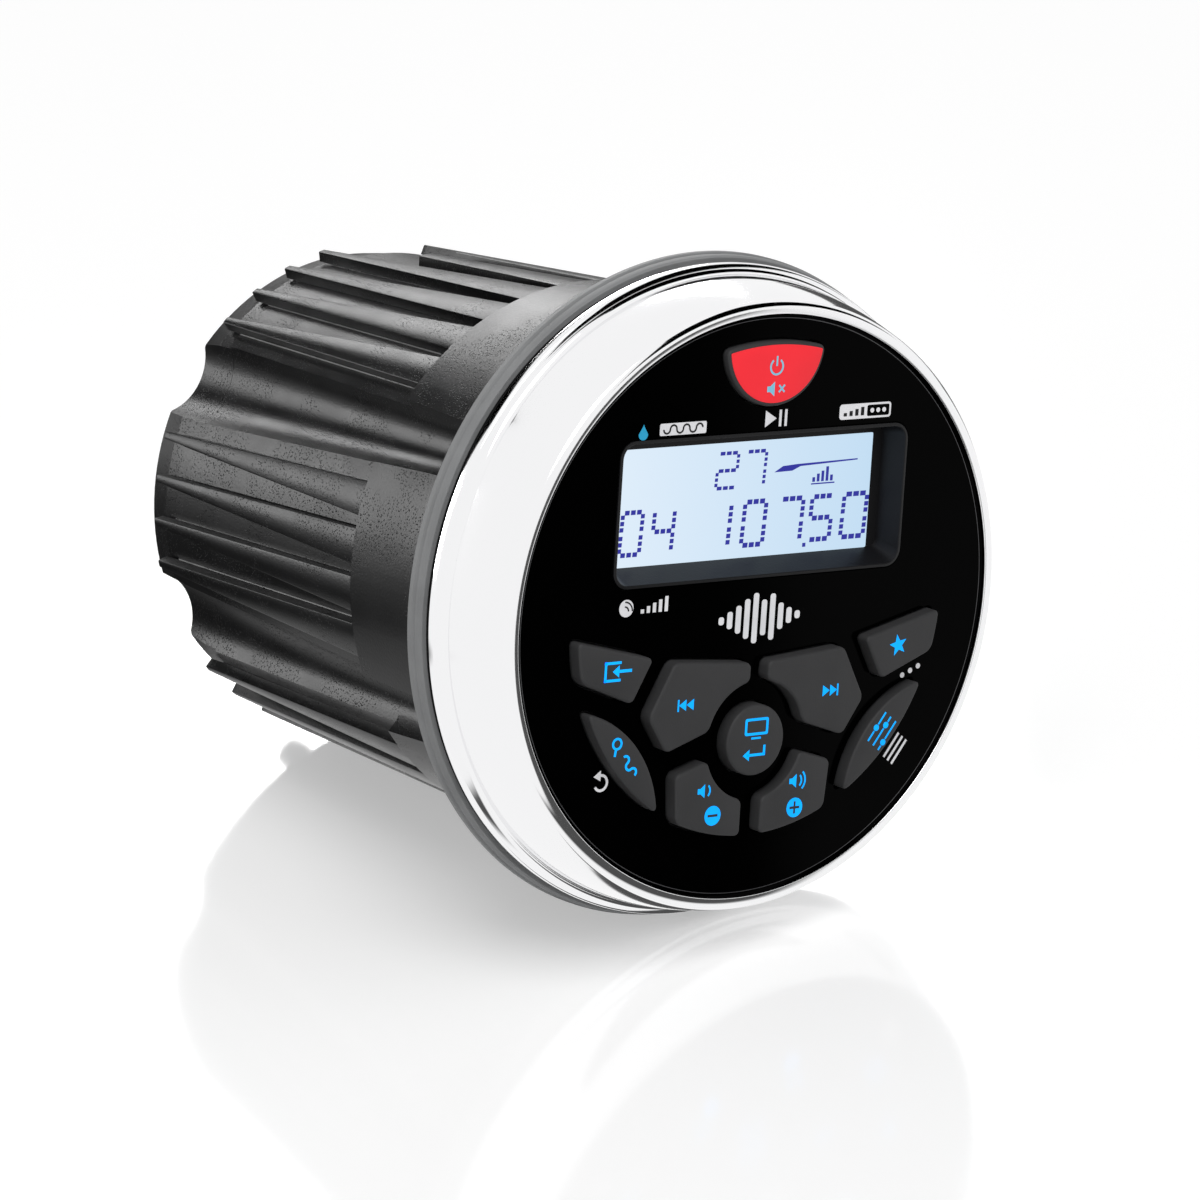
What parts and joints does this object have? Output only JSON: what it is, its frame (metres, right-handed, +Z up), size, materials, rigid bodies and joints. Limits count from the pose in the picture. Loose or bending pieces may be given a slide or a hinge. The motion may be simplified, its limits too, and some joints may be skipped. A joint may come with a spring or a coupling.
{
  "type": "marine stereo",
  "caption": "Round gauge-style marine stereo: chrome trim ring, black face with display and push keys, sealing ring, ribbed barrel and rear cover with sockets and mounting studs.",
  "frame": {"origin": "on the barrel's axis, in the plane of the sealing ring's rear face, which is the panel's surface", "axes": "+Y along the barrel to the rear, the face looks along -Y, +Z up with the face upright"},
  "size_m": [0.1012, 0.1223, 0.1012],
  "materials": {
    "barrel_plastic": "satin, finely speckled moulding",
    "seal_grey": "matte",
    "seal_inner": "matte",
    "trim_chrome": "polished plating",
    "screw_steel": "bright zinc",
    "face_gloss": "gloss",
    "frame_plastic": "fine satin",
    "display_glass": "clear, lit from behind",
    "diffuser_white": "milky",
    "key_red": "soft satin",
    "key_grey": "soft satin",
    "circuit_board": "solder resist",
    "switch_black": "matte",
    "chip_black": "matte moulding",
    "connector_cream": "satin",
    "ribbon_grey": "satin",
    "sink_aluminium": "extruded",
    "shield_tin": "tin plate",
    "capacitor_sleeve": "shrunk sleeve",
    "choke_copper": "enamelled winding",
    "module_blue": "solder resist",
    "socket_brass": "plated"
  },
  "bodies": {
    "base": {"housing": "barrel_plastic", "mounting_flange": "barrel_plastic", "flange_gasket": "seal_grey", "front_bezel": "trim_chrome", "bezel_screws": "screw_steel", "face_carrier": "barrel_plastic", "carrier_seal": "seal_inner", "faceplate": "face_gloss", "display_frame": "frame_plastic", "lcd_glass": "display_glass", "lcd_backlight": "diffuser_white", "push_switches": "switch_black", "front_board": "circuit_board", "front_board_screws": "screw_steel", "board_connectors": "connector_cream", "ribbon_cable": "ribbon_grey", "main_board": "circuit_board", "main_board_screws": "screw_steel", "amplifier_chip": "chip_black", "heat_sink": "sink_aluminium", "heat_sink_screws": "screw_steel", "tuner_module": "shield_tin", "filter_capacitors": "capacitor_sleeve", "power_choke": "choke_copper", "audio_processor": "chip_black", "wireless_module": "module_blue", "rear_cover": "barrel_plastic", "rear_seal": "seal_inner", "rear_cover_screws": "screw_steel", "antenna_socket": "socket_brass", "line_out_sockets": "socket_brass", "harness_socket": "connector_cream", "harness_pins": "socket_brass", "mounting_studs": "screw_steel"},
    "power_key": {"key_power": "key_red"},
    "source_key": {"key_source": "key_grey"},
    "preset_key": {"key_preset": "key_grey"},
    "previous_key": {"key_previous": "key_grey"},
    "next_key": {"key_next": "key_grey"},
    "band_key": {"key_band": "key_grey"},
    "audio_key": {"key_audio": "key_grey"},
    "enter_key": {"key_enter": "key_grey"},
    "volume_down_key": {"key_volume_down": "key_grey"},
    "volume_up_key": {"key_volume_up": "key_grey"}
  },
  "joints": [
    {"name": "power_press", "type": "slide", "parent": "base", "child": "power_key", "axis": [0, 1, 0], "range_m": [0, 0.0008], "stiffness_N_per_m": 2000},
    {"name": "source_press", "type": "slide", "parent": "base", "child": "source_key", "axis": [0, 1, 0], "range_m": [0, 0.0008], "stiffness_N_per_m": 2000},
    {"name": "preset_press", "type": "slide", "parent": "base", "child": "preset_key", "axis": [0, 1, 0], "range_m": [0, 0.0008], "stiffness_N_per_m": 2000},
    {"name": "previous_press", "type": "slide", "parent": "base", "child": "previous_key", "axis": [0, 1, 0], "range_m": [0, 0.0008], "stiffness_N_per_m": 2000},
    {"name": "next_press", "type": "slide", "parent": "base", "child": "next_key", "axis": [0, 1, 0], "range_m": [0, 0.0008], "stiffness_N_per_m": 2000},
    {"name": "band_press", "type": "slide", "parent": "base", "child": "band_key", "axis": [0, 1, 0], "range_m": [0, 0.0008], "stiffness_N_per_m": 2000},
    {"name": "audio_press", "type": "slide", "parent": "base", "child": "audio_key", "axis": [0, 1, 0], "range_m": [0, 0.0008], "stiffness_N_per_m": 2000},
    {"name": "enter_press", "type": "slide", "parent": "base", "child": "enter_key", "axis": [0, 1, 0], "range_m": [0, 0.0008], "stiffness_N_per_m": 2000},
    {"name": "volume_down_press", "type": "slide", "parent": "base", "child": "volume_down_key", "axis": [0, 1, 0], "range_m": [0, 0.0008], "stiffness_N_per_m": 2000},
    {"name": "volume_up_press", "type": "slide", "parent": "base", "child": "volume_up_key", "axis": [0, 1, 0], "range_m": [0, 0.0008], "stiffness_N_per_m": 2000}
  ]
}
